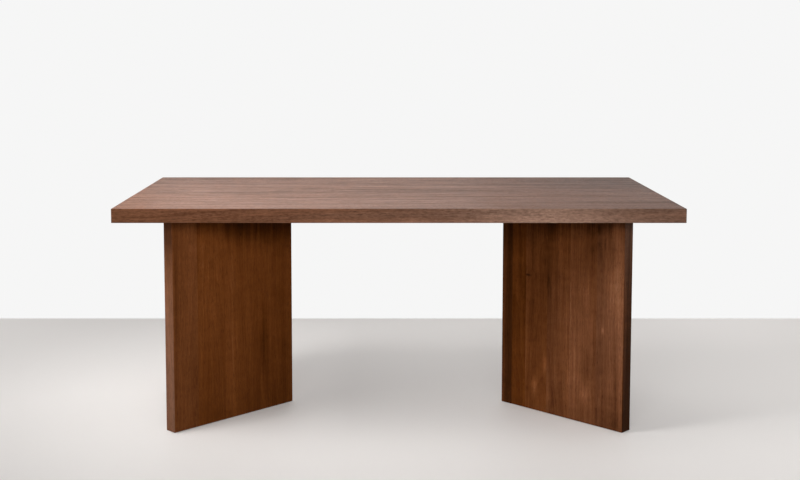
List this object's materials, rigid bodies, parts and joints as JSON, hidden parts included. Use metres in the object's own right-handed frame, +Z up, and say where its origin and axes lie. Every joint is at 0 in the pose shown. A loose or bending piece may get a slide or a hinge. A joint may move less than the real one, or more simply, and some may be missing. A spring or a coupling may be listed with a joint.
{
  "type": "dining table",
  "caption": "Solid walnut dining table: thick rectangular plank top on V-shaped slab legs, bolted on through hidden steel plates, standing on low glides.",
  "frame": {"origin": "on the floor, under the middle of the table top", "axes": "+X along the table's length, to the right in the picture; +Y to its back; +Z up"},
  "size_m": [1.8, 0.9, 0.75],
  "materials": {
    "walnut_top": "satin hardwax oil on solid walnut",
    "walnut_leg": "satin hardwax oil on solid walnut",
    "beech": "raw beech, glued in",
    "black_steel": "black powder coat",
    "zinc_steel": "zinc plated steel",
    "nylon": "dark brown nylon"
  },
  "bodies": {
    "root": {"top_board_1": "walnut_top", "top_board_2": "walnut_top", "top_board_3": "walnut_top", "top_board_4": "walnut_top", "top_board_5": "walnut_top", "top_board_6": "walnut_top", "top_board_7": "walnut_top", "left_front_panel_stave_1": "walnut_leg", "left_front_panel_stave_2": "walnut_leg", "left_front_panel_stave_3": "walnut_leg", "left_front_panel_stave_4": "walnut_leg", "left_front_panel_stave_5": "walnut_leg", "left_rear_panel_stave_1": "walnut_leg", "left_rear_panel_stave_2": "walnut_leg", "left_rear_panel_stave_3": "walnut_leg", "left_rear_panel_stave_4": "walnut_leg", "left_rear_panel_stave_5": "walnut_leg", "left_leg_stave_tenons": "beech", "left_leg_corner_tenons": "beech", "left_mounting_plate": "black_steel", "left_front_glide": "nylon", "left_corner_glide": "nylon", "left_rear_glide": "nylon", "right_front_panel_stave_1": "walnut_leg", "right_front_panel_stave_2": "walnut_leg", "right_front_panel_stave_3": "walnut_leg", "right_front_panel_stave_4": "walnut_leg", "right_front_panel_stave_5": "walnut_leg", "right_rear_panel_stave_1": "walnut_leg", "right_rear_panel_stave_2": "walnut_leg", "right_rear_panel_stave_3": "walnut_leg", "right_rear_panel_stave_4": "walnut_leg", "right_rear_panel_stave_5": "walnut_leg", "right_leg_stave_tenons": "beech", "right_leg_corner_tenons": "beech", "right_mounting_plate": "black_steel", "right_front_glide": "nylon", "right_corner_glide": "nylon", "right_rear_glide": "nylon", "top_board_tenons": "beech", "top_inserts": "zinc_steel", "panel_bolts": "zinc_steel", "barrel_nuts": "zinc_steel", "top_bolts": "zinc_steel", "top_washers": "zinc_steel", "glide_screws": "zinc_steel"}
  },
  "joints": []
}
